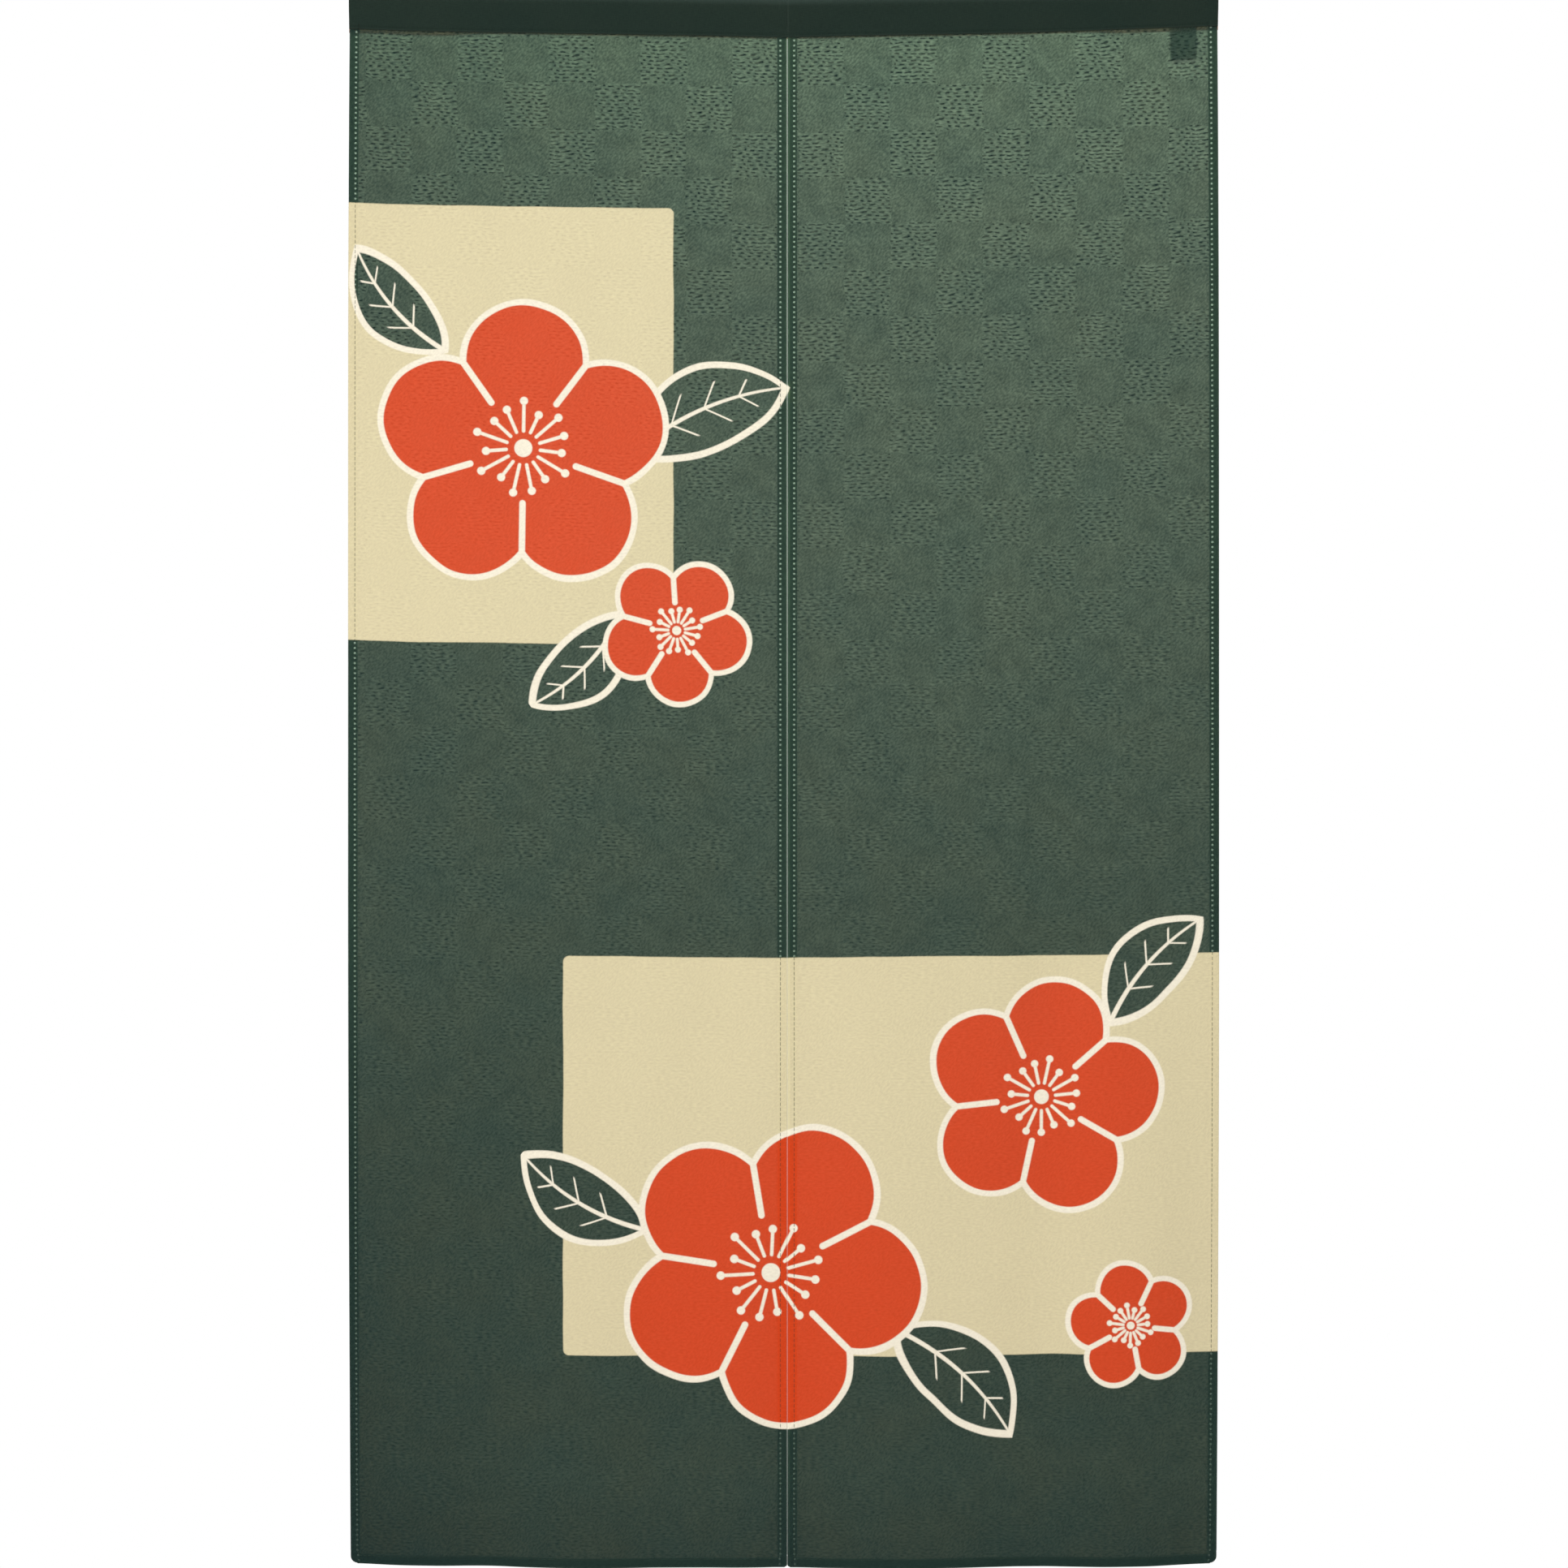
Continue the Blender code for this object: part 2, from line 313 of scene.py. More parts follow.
def above_stops():
    """Places up a panel's flat cloth, from the foot's hem to the end inside the pocket."""
    corner = CORNER_RADIUS * (1.0 - np.cos(np.linspace(0.0, np.pi / 2.0, 6)))[1:]
    near = np.concatenate(([0.0], corner, [0.0080, 0.0098, 0.0120, 0.0135]))
    body = np.linspace(near[-1], PANEL_DROP - 0.012, 320)[1:]
    top = np.linspace(PANEL_DROP - 0.012, PANEL_DROP + TUCK, 7)[1:]
    return np.concatenate((hem_stops(), near, body, top))


def shallower(x):
    """How much of the pocket's height is left at x: a little less towards the right end."""
    return 1.0 - RIGHT_RISE * smooth((x - 0.18) / 0.20)


def grid_faces(rows, columns, loop=False):
    """The quads of a grid of points numbered along its rows. A loop's last column meets
    its first."""
    row = np.arange(rows - 1)[:, None] * columns
    column = np.arange(columns if loop else columns - 1)[None, :]
    following = (column + 1) % columns
    corners = (row + column, row + following, row + columns + following, row + columns + column)
    return np.stack(corners, axis=-1).reshape(-1, 4)


def mesh_object(name, points, faces, **maps):
    """An object from its points and quads, with UV maps from a pair of lengths in metres
    for each point."""
    mesh = bpy.data.meshes.new(name)
    mesh.from_pydata(points.reshape(-1, 3).tolist(), [], faces.tolist())
    corner = np.empty(len(mesh.loops), dtype=np.int64)
    mesh.loops.foreach_get("vertex_index", corner)
    for title, pairs in maps.items():
        layer = mesh.uv_layers.new(name=title)
        layer.data.foreach_set("uv", pairs.reshape(-1, 2)[corner].astype(np.float32).ravel())
    mesh.shade_smooth()
    made = bpy.data.objects.new(name, mesh)
    bpy.context.scene.collection.objects.link(made)
    return made


def thicken(made, thickness, back_material=False):
    """Gives a cloth its thickness, behind its face."""
    solid = made.modifiers.new("thickness", "SOLIDIFY")
    solid.offset = -1.0
    solid.thickness = thickness
    solid.use_rim = True
    if back_material:
        solid.material_offset = 1


def folded_in(within):
    """How far in from a folded edge a point ends up, from how far within the edge it lies
    on the flat cloth: the hem past the turn comes back over the cloth."""
    return np.maximum(within, -within - np.pi * TURN_RADIUS)


def panel_cloth(panel):
    """One printed panel, with its hems truly turned to the back on three sides."""
    across, above = np.meshgrid(across_stops(panel), above_stops())
    points = np.stack(hang(panel, across, above), axis=-1)
    flat = np.stack((panel.left + across, above - DROP), axis=-1)
    from_side = folded_in(np.minimum(across, panel.right - panel.left - across))
    inward = np.stack((from_side, folded_in(above)), axis=-1)
    faces = grid_faces(*across.shape)
    made = mesh_object(panel.name, points, faces, flat_cloth=flat, from_edges=inward)
    zone = zone_of(flat.reshape(-1, 2)[faces].mean(axis=1))
    made.data.polygons.foreach_set("material_index", (2 * zone).astype(np.int32))
    thicken(made, CLOTH, back_material=True)
    return made


def pocket_section():
    """The rod pocket's section as (y, z) points, from the end of its turned-in front
    edge, down and round that edge, up the front, over the crown, down the back and on
    to the end of the allowance behind the panels. The flanks are straight, and touch
    the crown's circle."""
    turn = POCKET_TURN
    low = -POCKET_HEIGHT + turn
    centre_y = SEAM_FRONT + turn
    inside_z = np.linspace(low + TUCK, low, 4)[:-1]
    inside = np.stack((np.full(3, centre_y + turn), inside_z), axis=1)
    angle = np.linspace(0.0, -np.pi, 9)
    edge = np.stack((centre_y + turn * np.cos(angle), low + turn * np.sin(angle)), axis=1)

    front_slope = (CROWN_RADIUS + SEAM_FRONT) / (POCKET_HEIGHT - CROWN_RADIUS)
    tilt = np.arctan(front_slope)
    angle = np.linspace(-tilt, np.pi + tilt, 41)
    crown_y, crown_z = -CROWN_RADIUS * np.cos(angle), CROWN_RADIUS * (np.sin(angle) - 1.0)
    crown = np.stack((crown_y, crown_z), axis=1)

    down = np.concatenate((np.linspace(0.0, 0.004, 9)[1:], np.linspace(0.004, 0.026, 16)[1:-1]))
    share = down[:, None] / 0.026
    front = edge[-1] + share * (crown[0] - edge[-1])
    pinch = 0.00045 * np.exp(-(((front[:, 1] - low - POCKET_STITCH) / 0.0011) ** 2))
    front[:, 0] += pinch

    back_z = np.linspace(crown_z[-1], -POCKET_HEIGHT - LIP, 34)[1:]
    back_y_end = LIP_FRONT + CLOTH
    rise = (crown_y[-1] - back_y_end) / (crown_z[-1] + POCKET_HEIGHT - POCKET_STITCH)
    lean = rise * (back_z + POCKET_HEIGHT - POCKET_STITCH)
    back_y = back_y_end + 0.5 * (lean + np.sqrt(lean**2 + 0.0004**2))
    back = np.stack((back_y, back_z), axis=1)
    return np.concatenate((inside, edge, front, crown, back))


def lengths_along(line):
    """The length of a line of points from its start to each point."""
    return np.concatenate(([0.0], np.cumsum(np.linalg.norm(np.diff(line, axis=0), axis=1))))


def pocket_stops():
    """Places across the pocket, its turned ends included, closer together at the join
    of the two panels' cloth."""
    beside = np.array([0.0005, 0.0012, 0.0022, 0.0045])
    near = SLIT_X + np.concatenate((-beside[::-1], [0.0], beside))
    left = np.linspace(-HALF_TOP, near[0], 72)[:-1]
    right = np.linspace(near[-1], HALF_TOP, 72)[1:]
    hem = hem_stops()
    return np.concatenate((-HALF_TOP + hem, left, near, right, HALF_TOP - hem[::-1]))


def pocket_cloth():
    """The rod pocket: its section carried along the sagging top fold, with both ends
    open, turned in and a little drawn in at the front. Its flanks ripple, and a join runs
    over it at the slit."""
    section = pocket_section()
    step = np.gradient(section, axis=0)
    step /= np.linalg.norm(step, axis=1)[:, None]
    outward_y, outward_z = -step[:, 1], step[:, 0]
    along = lengths_along(section)

    across, row = np.meshgrid(pocket_stops(), np.arange(len(section)))
    y, z = section[row, 0], section[row, 1]
    free = smooth((z + POCKET_HEIGHT - 0.003) / 0.006)
    over = np.abs(across) - HALF_TOP
    outside, depth = turned(over, TURN_RADIUS, np.zeros_like(over))
    puff = END_PUFF * np.sin(np.pi * np.clip(-z / POCKET_HEIGHT, 0.0, 1.0) ** 0.7)
    drawn = DRAWN_IN * np.clip(-y / CROWN_RADIUS, 0.0, 1.0)
    x = np.sign(across) * (HALF_TOP + outside) * (1.0 + (puff - drawn) / HALF_TOP)

    join = 0.00045 * np.exp(-(((x - SLIT_X) / 0.0011) ** 2))
    wave = ripples(x, z, 31, POCKET_RIPPLE) + ripples(x, z, 32, POCKET_FINE_RIPPLE)
    wave += puckers(x, np.abs(z + POCKET_HEIGHT), POCKET_PUCKER)
    inward = (depth + join - wave) * free
    shorter = 1.0 - (1.0 - LIP_MIDDLE) * smooth((0.330 - np.abs(x)) / 0.05)
    z = np.where(z < -POCKET_HEIGHT, (z + POCKET_HEIGHT) * shorter - POCKET_HEIGHT, z)
    z = z * shallower(x)
    y = y - inward * outward_y[row]
    z = z - inward * outward_z[row] + top_lift(x)
    points = np.stack((x, y, z), axis=-1)
    flat = np.stack((across, along[row]), axis=-1)
    made = mesh_object("pocket", points, grid_faces(*across.shape), flat_cloth=flat)
    thicken(made, CLOTH)
    return made


def tape_loop():
    """The blank tape: a strip folded into a loop at its lower end, hung behind the
    allowance by the pocket's seam. It stands off a little more the lower it hangs."""
    gap = LABEL_LOOP
    top, low = LABEL_TOP, -POCKET_HEIGHT - LABEL_DROP
    down = np.linspace(top, low + gap, 16)
    angle = np.linspace(0.0, np.pi, 9)[1:-1]
    z = np.concatenate((down, low + gap - gap * np.sin(angle), down[::-1]))
    y = np.concatenate((np.full(16, 0.0), gap - gap * np.cos(angle), np.full(16, 2.0 * gap)))
    along = lengths_along(np.stack((y, z), axis=1))
    across, row = np.meshgrid(np.linspace(-0.5, 0.5, 13) * LABEL_WIDTH, np.arange(len(z)))
    x = LABEL_X + across
    hanging = np.clip((top - z[row]) / (top - low), 0.0, 1.0)
    held = smooth(hanging / 0.12)
    curl = 0.0014 * hanging**2 + 0.0006 * held * (across / LABEL_WIDTH) ** 2
    puff = 0.0003 * np.sin(np.pi * hanging) * np.where(row > len(z) // 2, 1.0, 0.0)
    flat_y = LIP_FRONT + CLOTH + 0.00012 + y[row] + curl + puff
    lifted = 0.33 * np.maximum(z[row] + POCKET_HEIGHT - POCKET_STITCH, 0.0)
    points = np.stack((x, flat_y + lifted, z[row] + top_lift(x)), axis=-1)
    flat = np.stack((across, along[row]), axis=-1)
    made = mesh_object("tape", points, grid_faces(*across.shape), flat_cloth=flat)
    thicken(made, LABEL_THICKNESS)
    return made


def thread_mesh(name, lines, sideways, outward, radii):
    """Short threads: a ring of six points round each place on each centre line, and a
    cap at both ends. lines is (threads, places, 3)."""
    threads, places = lines.shape[:2]
    sides = 6
    angle = np.linspace(0.0, 2.0 * np.pi, sides, endpoint=False)
    round_it = np.cos(angle)[:, None] * sideways + np.sin(angle)[:, None] * outward
    points = lines[:, :, None, :] + radii[None, :, None, None] * round_it[None, None]
    one = grid_faces(places, sides, loop=True)
    start = (np.arange(threads) * places * sides)[:, None, None]
    faces = (one[None] + start).reshape(-1, 4).tolist()
    ring, first = np.arange(sides)[None], start[:, 0]
    caps = np.concatenate((ring[:, ::-1] + first, ring + first + (places - 1) * sides))
    mesh = bpy.data.meshes.new(name)
    mesh.from_pydata(points.reshape(-1, 3).tolist(), [], faces + caps.tolist())
    mesh.shade_smooth()
    return mesh


def stitch_line(name, place, start, end, sideways, outward):
    """A line of stitches. place gives the cloth's face at an array of distances along
    it. Each stitch arches over the cloth and dips into it at both ends."""
    count = int((end - start) / STITCH_PITCH)
    middle = start + (np.arange(count) + 0.5) * STITCH_PITCH
    t = np.array([-1.0, -0.75, -0.35, 0.35, 0.75, 1.0])
    along = middle[:, None] + 0.0019 * t[None]
    lift = THREAD * np.array([-1.2, 0.0, 0.7, 0.7, 0.0, -1.2])
    radii = THREAD * np.array([0.7, 0.9, 1.0, 1.0, 0.9, 0.7])
    centres = place(along) + lift[None, :, None] * np.array(outward)
    return thread_mesh(name, centres, np.array(sideways), np.array(outward), radii)


def joined(name, meshes):
    """One object from several meshes."""
    shape = bmesh.new()
    for mesh in meshes:
        shape.from_mesh(mesh)
    bmesh.ops.recalc_face_normals(shape, faces=shape.faces)
    whole = bpy.data.meshes.new(name)
    shape.to_mesh(whole)
    shape.free()
    for mesh in meshes:
        bpy.data.meshes.remove(mesh)
    whole.shade_smooth()
    made = bpy.data.objects.new(name, whole)
    bpy.context.scene.collection.objects.link(made)
    return made


def panel_sewing(panel, name):
    """The stitches of a panel's three hems, on its face and on its back."""
    width = panel.right - panel.left
    flap = np.pi * TURN_RADIUS

    def upright(across):
        return lambda above: np.stack(hang(panel, np.full_like(above, across), above), axis=-1)

    def level(above):
        return lambda across: np.stack(hang(panel, across, np.full_like(across, above)), axis=-1)

    front, back = (0.0, -1.0, 0.0), (0.0, 1.0, 0.0)
    right_way, up_way = (1.0, 0.0, 0.0), (0.0, 0.0, 1.0)
    low, high = FOOT_STITCH, PANEL_DROP - 0.001
    side, far_side, inner = SIDE_STITCH, width - SIDE_STITCH, 0.012
    lines = [
        stitch_line("left_face", upright(side), low, high, right_way, front),
        stitch_line("right_face", upright(far_side), low, high, right_way, front),
        stitch_line("left_back", upright(-flap - side), low, high, right_way, back),
        stitch_line("right_back", upright(width + flap + side), low, high, right_way, back),
        stitch_line("foot_face", level(FOOT_STITCH), side, far_side, up_way, front),
        stitch_line("foot_back", level(-flap - FOOT_STITCH), inner, width - inner, up_way, back),
    ]
    return joined(name, lines)


def pocket_sewing():
    """The stitches that close the pocket, on its face and behind it."""
    height = -POCKET_HEIGHT + POCKET_TURN + POCKET_STITCH

    def face(x):
        y = np.full_like(x, SEAM_FRONT + 0.00045)
        return np.stack((x, y, height * shallower(x) + top_lift(x)), axis=-1)

    def back(x):
        y = np.full_like(x, LIP_FRONT + CLOTH + 0.0002)
        return np.stack((x, y, height * shallower(x) - 0.0004 + top_lift(x)), axis=-1)

    end = HALF_TOP - 0.002
    up_way = (0.0, 0.0, 1.0)
    lines = [
        stitch_line("face", face, -end, end, up_way, (0.0, -1.0, 0.0)),
        stitch_line("back", back, -end, end, up_way, (0.0, 1.0, 0.0)),
    ]
    return joined("sewing_pocket", lines)


class Socket:
    """A shader socket that can be written into sums: an expression on it adds its Math
    nodes to the same tree."""

    def __init__(self, tree, output=None):
        self.tree = tree
        self.output = output

    def node(self, kind, settings=None, inputs=None, output=0):
        """Adds a node of any kind: its settings first, then its inputs, by name or by
        number, each a value or a socket."""
        made = self.tree.nodes.new(kind)
        for name, value in (settings or {}).items():
            setattr(made, name, value)
        for key, value in (inputs or {}).items():
            if isinstance(value, Socket):
                self.tree.links.new(value.output, made.inputs[key])
            else:
                made.inputs[key].default_value = value
        return Socket(self.tree, made.outputs[output])

    def math(self, operation, *values, clamp=False):
        settings = {"operation": operation, "use_clamp": clamp}
        return self.node("ShaderNodeMath", settings, dict(enumerate(values)))

    def __add__(self, other):
        return self.math("ADD", self, other)

    def __sub__(self, other):
        return self.math("SUBTRACT", self, other)

    def __rsub__(self, other):
        return self.math("SUBTRACT", other, self)

    def __mul__(self, other):
        return self.math("MULTIPLY", self, other)

    def __truediv__(self, other):
        return self.math("DIVIDE", self, other)

    def __rtruediv__(self, other):
        return self.math("DIVIDE", other, self)

    def __pow__(self, other):
        return self.math("POWER", self, other)

    def __mod__(self, other):
        return self.math("FLOORED_MODULO", self, other)

    def __neg__(self):
        return self.math("MULTIPLY", self, -1.0)

    def __abs__(self):
        return self.math("ABSOLUTE", self)

    __radd__ = __add__
    __rmul__ = __mul__

    def low(self, other):
        return self.math("MINIMUM", self, other)

    def high(self, other):
        return self.math("MAXIMUM", self, other)

    def over(self, other):
        return self.math("GREATER_THAN", self, other)

    def floor(self):
        return self.math("FLOOR", self)

    def sine(self):
        return self.math("SINE", self)

    def cosine(self):
        return self.math("COSINE", self)

    def clamp(self):
        return self.math("ADD", self, 0.0, clamp=True)


def vector(x, y, z=0.0):
    """A vector socket from its parts."""
    return x.node("ShaderNodeCombineXYZ", {}, {0: x, 1: y, 2: z})


def parts(place):
    """The x, y and z of a vector socket."""
    split = place.node("ShaderNodeSeparateXYZ", {}, {0: place})
    return [Socket(place.tree, output) for output in split.output.node.outputs]


def mix(share, a, b):
    """Colour a where share is 0 and colour b where it is 1. share or a is a socket."""
    root = share if isinstance(share, Socket) else a
    return root.node("ShaderNodeMix", {"data_type": "RGBA"}, {0: share, 6: a, 7: b}, output=2)


def noise(place, scale=1.0, detail=1.0):
    """Soft noise from -0.5 to 0.5, with that many waves to the place's unit."""
    inputs = {"Vector": place, "Scale": scale, "Detail": detail, "Roughness": 0.5}
    return place.node("ShaderNodeTexNoise", {"noise_dimensions": "2D"}, inputs) - 0.5


def cloth_place(root, name="flat_cloth"):
    """The two lengths that a UV map of the piece holds."""
    return parts(root.node("ShaderNodeUVMap", {"uv_map": name}))[:2]


def covered(distance, softness=INK_EDGE):
    """1 inside a shape, 0 outside it, from the distance to its outline (negative
    inside), with an edge of that softness."""
    return (0.5 - distance / softness).clamp()


def stroke(distance, width, softness=INK_EDGE):
    """1 on a line of that width along a shape's outline."""
    return covered(abs(distance) - 0.5 * width, softness)


def reached(v, start, span):
    """How far down the cloth v has come from start, as a share of a span, 0 to 1."""
    return ((start - v) / span).clamp()


# Inks and yarns, as linear colours. A name that ends in LIGHT is the light let through
GREEN_COOL = (0.0138, 0.0322, 0.0300, 1.0)
GREEN_WARM = (0.0212, 0.0310, 0.0240, 1.0)
POCKET_DARK = (0.0152, 0.0300, 0.0232, 1.0)
POCKET_PALE = (0.0180, 0.0325, 0.0245, 1.0)
# painted light: a lighter line down the pocket's join at the slit, standing in for light through
# it
POCKET_JOIN_PAINTED_GLOW = (0.050, 0.072, 0.056, 1.0)
# painted highlight: a paler teal tint along the pocket's top fold, as if lit from above
POCKET_CREST_HIGHLIGHT = (0.046, 0.074, 0.062, 1.0)
GREEN_HEM = (0.0126, 0.0284, 0.0256, 1.0)
BEIGE = (0.742, 0.638, 0.408, 1.0)
RED = (0.690, 0.056, 0.0105, 1.0)
CREAM = (0.955, 0.865, 0.715, 1.0)
YARN_LIGHT = (0.700, 0.80, 0.665, 1.0)
POCKET_LIGHT = (0.90, 0.70, 0.60, 1.0)
TAPE_LIGHT = (0.90, 0.94, 0.92, 1.0)
THREAD_COLOUR = (0.016, 0.031, 0.022, 1.0)
THREAD_TWIST = (0.030, 0.050, 0.038, 1.0)
TAPE_COLOUR = (0.070, 0.080, 0.075, 1.0)
TAPE_EDGE = (0.035, 0.045, 0.040, 1.0)
# painted light: the needle holes painted paler, as lit from behind, fading lower down
HOLE_GLOW = (0.225, 0.290, 0.245, 1.0)
PALE_BACK = (0.200, 0.210, 0.180, 1.0)
BACK_FADE = 0.16  # of that colour on the cloth's back
FRONT_LIGHT = 1.5  # how brightly the front is lit, so that a colour comes out as listed

# What share of each cloth's look is light let through
SINGLE_SHARE = 0.318
HEM_SHARE = 0.440
SLIT_SHARE = 0.67
HOLE_SHARE = 0.66
POCKET_SHARE = 0.16
LIP_SHARE = 0.82
TAPE_SHARE = 0.76
THREAD_SHARE = 0.30

# The weave: squares of short dashes and squares of fine twill, mirrored about a line
SQUARE = 0.0440  # height
SQUARE_LEFT, SQUARE_RIGHT = 0.0436, 0.0442  # widths, on either side of that line
MIRROR_X = 0.0046
FIRST_LEFT, FIRST_RIGHT = 0.0105, 0.0090  # from that line to the first square
FIRST_ROW = -0.0837
DASH_PITCH = 0.0086
DASH_ROW = 0.0035
DASH_HALF, DASH_FADE = 0.17, 0.16  # of its pitch
ROW_HALF, ROW_FADE = 0.12, 0.20
GOLDEN_ANGLE = 2.399  # a step that scatters the rows
FADE_START, FADE_SPAN = -0.15, 1.15  # of the dashes, down the cloth
HOLE = 0.0010  # radius of the light spot at a needle's hole

# The two prints: a plain block, by its middle and half sizes, with blossoms and leaves
Block = namedtuple("Block", "x z half_x half_z")
Bloom = namedtuple("Bloom", "x z radius turn")
Leaf = namedtuple("Leaf", "x z length turn")
Print = namedtuple("Print", "block blooms leaves")
UPPER = Print(
    block=Block(x=-0.330, z=-0.410, half_x=0.225, half_z=0.208),
    blooms=(
        Bloom(x=-0.248, z=-0.432, radius=0.142, turn=0.30),
        Bloom(x=-0.102, z=-0.604, radius=0.072, turn=-0.25),
    ),
    leaves=(
        Leaf(x=-0.372, z=-0.300, length=0.125, turn=2.30),
        Leaf(x=-0.076, z=-0.392, length=0.160, turn=0.42),
        Leaf(x=-0.190, z=-0.640, length=0.120, turn=-2.35),
    ),
)
LOWER = Print(
    block=Block(x=0.190, z=-1.105, half_x=0.400, half_z=0.190),
    blooms=(
        Bloom(x=0.246, z=-1.050, radius=0.116, turn=0.10),
        Bloom(x=-0.012, z=-1.216, radius=0.150, turn=-0.15),
        Bloom(x=0.330, z=-1.268, radius=0.062, turn=0.50),
    ),
    leaves=(
        Leaf(x=0.345, z=-0.925, length=0.130, turn=0.85),
        Leaf(x=-0.195, z=-1.150, length=0.135, turn=2.60),
        Leaf(x=0.170, z=-1.312, length=0.150, turn=-0.75),
    ),
)
BLOCK_CORNER = 0.0055
OUTLINE = 0.0062
MARGIN = 1.06  # how far a figure's own place reaches, by its size
UPPER_TOP, UPPER_FOOT, UPPER_RIGHT = -0.190, -0.780, 0.0225  # where the two prints end
LOWER_TOP, LOWER_FOOT, LOWER_LEFT = -0.845, -1.400, -0.290

# A bloom's parts, as shares of its radius
PETALS = 5
STAMENS = 15
LOBE_OUT, LOBE = 0.565, 0.415
PETAL_BASE = 0.40
DIVISION_END = 0.37
STAMEN_START, STAMEN_REACH, STAMEN_STAGGER = 0.115, 0.285, 0.040
STAMEN_STEP = 2.4  # by which one stamen's stagger follows the last
HEART = 0.060

# A leaf's lines
RIB = 0.0030
VEIN = 0.0022
VEIN_PITCH = 0.44  # of half its length


def zone_of(places):
    """Which print a face of the flat cloth carries: 0 for none, 1 for the upper and 2 for
    the lower. places are the faces' middles."""
    x, z = places[:, 0], places[:, 1]
    upper = (z < UPPER_TOP) & (z > UPPER_FOOT) & (x < UPPER_RIGHT)
    lower = (z < LOWER_TOP) & (z > LOWER_FOOT) & (x > LOWER_LEFT)
    return np.where(upper, 1, np.where(lower, 2, 0))


def local_place(u, v, things, reach):
    """Chooses, at each point, the last of several figures that reaches it, and gives the
    place in that figure's own axes, and its reach."""
    chosen = None
    for thing in things:
        du, dv = u - thing.x, v - thing.z
        cos, sin = float(np.cos(thing.turn)), float(np.sin(thing.turn))
        own = vector(du * cos + dv * sin, dv * cos - du * sin, reach(thing))
        if chosen is None:
            chosen = own
            continue
        inside = (reach(thing) - length(du, dv)).over(0.0)
        inputs = {0: inside, 4: chosen, 5: own}
        chosen = u.node("ShaderNodeMix", {"data_type": "VECTOR"}, inputs, output=1)
    return parts(chosen)


def length(x, y):
    """The length of a flat vector from its parts."""
    return (x * x + y * y) ** 0.5


def spoke_place(r, angle, step):
    """A place in the axes of the nearest of several spokes, a step of angle apart: along
    it, across it, and the angle from it."""
    own = (angle + 0.5 * step) % step - 0.5 * step
    return r * own.cosine(), r * own.sine(), own


def stamen_cover(r, angle, radius):
    """1 on the stamens, thin stems of staggered lengths with round tips, and on the dot
    in the middle."""
    step = 2.0 * np.pi / STAMENS
    sx, sy, _ = spoke_place(r, angle, step)
    turn = (angle / step + 0.5).floor() * STAMEN_STEP
    tip = radius * (STAMEN_REACH + turn.sine() * STAMEN_STAGGER)
    along = sx.high(radius * STAMEN_START).low(tip)
    stem = length(sx - along, sy) - (0.0011 + radius * 0.0035)
    dot = length(sx - tip, sy) - (0.0018 + radius * 0.0145)
    return covered(stem.low(dot).low(r - radius * HEART))


def bloom_figure(u, v, blooms, wobble):
    """Five-petalled blossoms, seen from the front. Each petal is a round lobe, a fifth of
    the turn apart, and stamens spread from the middle. Gives the petals' cover, their
    cream lines and the stamens' cover."""
    x, y, size = local_place(u, v, blooms, lambda b: b.radius * MARGIN)
    radius = size / MARGIN
    r = length(x, y)
    angle = y.math("ARCTAN2", y, x)
    px, py, own = spoke_place(r, angle, 2.0 * np.pi / PETALS)
    to_petal = length(px - radius * LOBE_OUT, py) - radius * LOBE
    outline = to_petal.low(r - radius * PETAL_BASE) + wobble
    width = OUTLINE * 0.7 + radius * 0.012
    ring = stroke(outline, width)
    off = np.pi / PETALS - abs(own)
    short = (radius * DIVISION_END - r * off.cosine()).high(0.0)
    division = covered(length(short, r * off.sine()) - 0.5 * width) * covered(outline)
    return covered(outline), ring.high(division), stamen_cover(r, angle, radius)


def leaf_figure(u, v, leaves, wobble):
    """Pointed leaves: the overlap of two round discs, with a middle rib and side veins.
    Gives the leaves' cover and their cream lines."""
    x, y, size = local_place(u, v, leaves, lambda l: 0.5 * l.length * MARGIN)
    half = size / MARGIN
    y = y + x * x / half * 0.16
    broad = half * 0.50
    disc = (half * half + broad * broad) / (2.0 * broad)
    edge = length(x, abs(y) + disc - broad) - disc + wobble
    inside = covered(edge)
    rib = stroke(y, RIB * (1.15 - x / half * 0.45))
    pitch = half * VEIN_PITCH
    off = (x - abs(y) * 0.95 + 0.5 * pitch) % pitch - 0.5 * pitch
    short = covered(abs(y) - broad * 0.55 * (1.0 - (x / half) ** 2.0), 0.002)
    vein = stroke(off, VEIN) * short * covered(abs(x) - half * 0.72, 0.003)
    return inside, stroke(edge, OUTLINE).high(rib.high(vein) * inside)


def block_figure(u, v, block, wobble):
    """A plain block: a rectangle with slightly rounded corners."""
    du = abs(u - block.x) - (block.half_x - BLOCK_CORNER)
    dv = abs(v - block.z) - (block.half_z - BLOCK_CORNER)
    outer = length(du.high(0.0), dv.high(0.0))
    return covered(outer + du.high(dv).low(0.0) - BLOCK_CORNER + wobble * 0.35)


def print_colours(u, v, patch, figures, ground):
    """The print as it lies on the cloth: ground, a block, leaves, then blossoms. Its lines
    wander a little with the patches, as drawn by hand."""
    wobble = patch * 0.0050
    colour = mix(block_figure(u, v, figures.block, wobble), ground, BEIGE)
    leaf, leaf_lines = leaf_figure(u, v, figures.leaves, wobble)
    colour = mix(leaf, colour, ground)
    colour = mix(leaf_lines, colour, CREAM)
    petals, petal_lines, stamens = bloom_figure(u, v, figures.blooms, wobble)
    colour = mix(petals, colour, RED)
    return mix(petal_lines.high(stamens), colour, CREAM)


